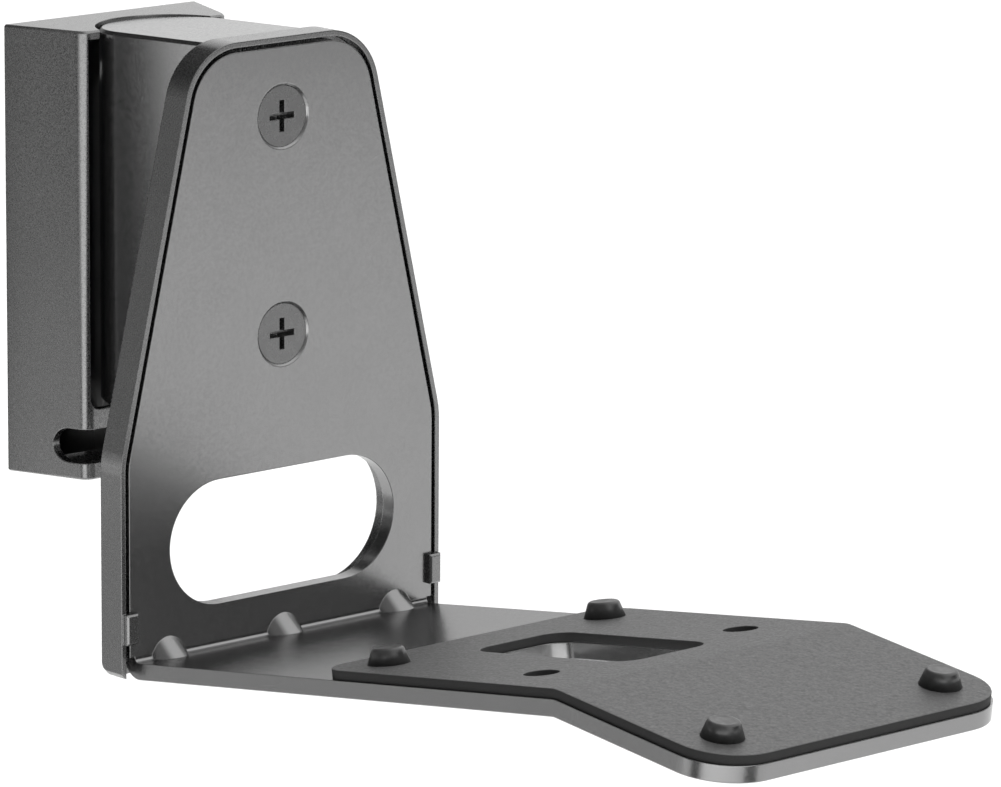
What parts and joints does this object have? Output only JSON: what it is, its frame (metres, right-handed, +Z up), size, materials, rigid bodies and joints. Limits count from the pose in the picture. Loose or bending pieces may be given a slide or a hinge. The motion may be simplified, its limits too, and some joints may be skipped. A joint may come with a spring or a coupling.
{
  "type": "speaker wall bracket",
  "caption": "Swivelling wall bracket for a desktop speaker: covered wall plate, swivel arm, upright steel plate and a padded folded shelf with rubber nubs.",
  "frame": {"origin": "centre of the wall bracket's back face, on the wall", "axes": "+Y into the wall, -Y into the room along the shelf, +Z up, +X to the right seen from the room"},
  "size_m": [0.0754, 0.2046, 0.1132],
  "materials": {
    "cast_bracket": "satin dark grey powder coat",
    "cast_arm": "satin dark grey powder coat, fine texture",
    "coated_steel": "satin dark grey powder coat on folded steel",
    "cover_plastic": "fine moulded texture",
    "tray_plastic": "fine moulded texture",
    "black_screw": "black zinc",
    "bolt_steel": "zinc-plated steel",
    "bush_bronze": "sintered bronze",
    "pad_foam": "pebbled soft foam rubber",
    "nub_rubber": "smooth moulded rubber"
  },
  "bodies": {
    "wall_mount": {"wall_bracket": "cast_bracket", "lower_bush": "bush_bronze", "upper_bush": "bush_bronze", "wall_cover": "cover_plastic", "cover_screw": "black_screw"},
    "swivel_head": {"swivel_arm": "cast_arm", "pivot_bolt": "bolt_steel", "disc_spring": "bolt_steel", "speaker_plate": "coated_steel", "upper_plate_screw": "black_screw", "lower_plate_screw": "black_screw", "back_tray": "tray_plastic", "shelf_pad": "pad_foam", "rear_left_nub": "nub_rubber", "rear_right_nub": "nub_rubber", "front_left_nub": "nub_rubber", "front_right_nub": "nub_rubber"}
  },
  "joints": [
    {"name": "swivel", "type": "hinge", "parent": "wall_mount", "child": "swivel_head", "pos_m": [0, -0.0202, 0], "axis": [0, 0, 1], "range_deg": [-30, 30]}
  ]
}
